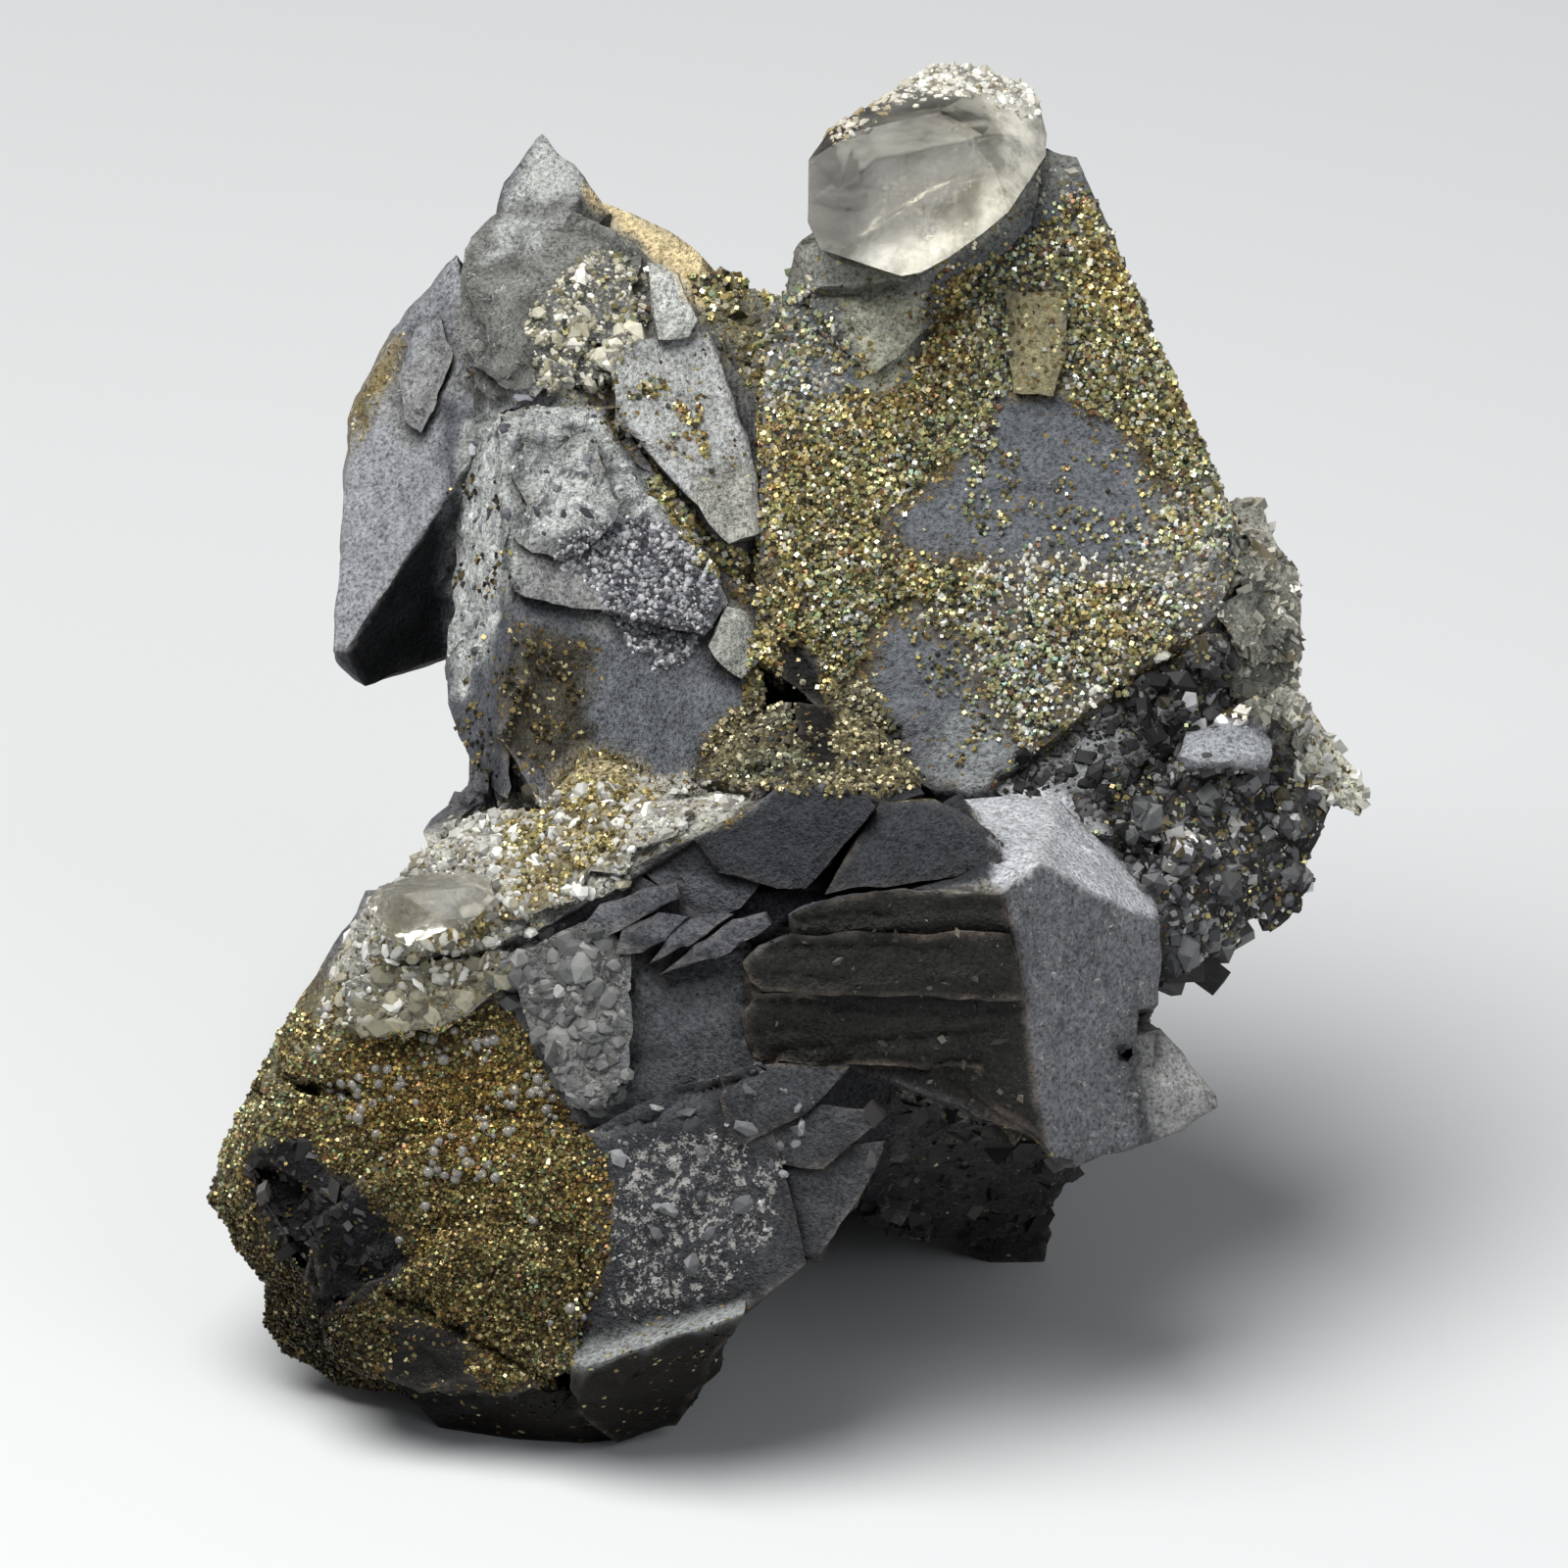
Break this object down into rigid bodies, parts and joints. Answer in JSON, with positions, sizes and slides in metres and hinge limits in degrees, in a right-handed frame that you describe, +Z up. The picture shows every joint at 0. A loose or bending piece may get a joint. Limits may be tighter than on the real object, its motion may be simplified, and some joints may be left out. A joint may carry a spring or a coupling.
{
  "type": "calcite and pyrite cluster",
  "caption": "Blocky grey calcite crystals grown together, crusted with fine pyrite, with a clear calcite crystal perched on top.",
  "frame": {"origin": "on the surface that the cluster rests on, under the middle of its bounding box", "axes": "+Z up as it rests on its feet, +X to the right as seen from the crusted front, +Y from the front to the back"},
  "size_m": [0.0636, 0.062, 0.0644],
  "materials": {
    "grey_calcite": "matt, fine-grained, paler on the worn edges",
    "clear_calcite": "clear with pale veils, bright faces",
    "pyrite": "brassy druse of fine sparkling grains"
  },
  "bodies": {
    "root": {"grey_calcite_cluster": "grey_calcite", "clear_calcite_crystal": "clear_calcite", "clear_calcite_prism": "clear_calcite", "pyrite_crust_tall_face": "pyrite", "pyrite_crust_tall_edge": "pyrite", "pyrite_crust_front_face": "pyrite", "pyrite_crust_sliver": "pyrite", "pyrite_crust_spire_foot": "pyrite", "pyrite_crust_valley": "pyrite", "pyrite_crust_band": "pyrite"}
  },
  "joints": []
}
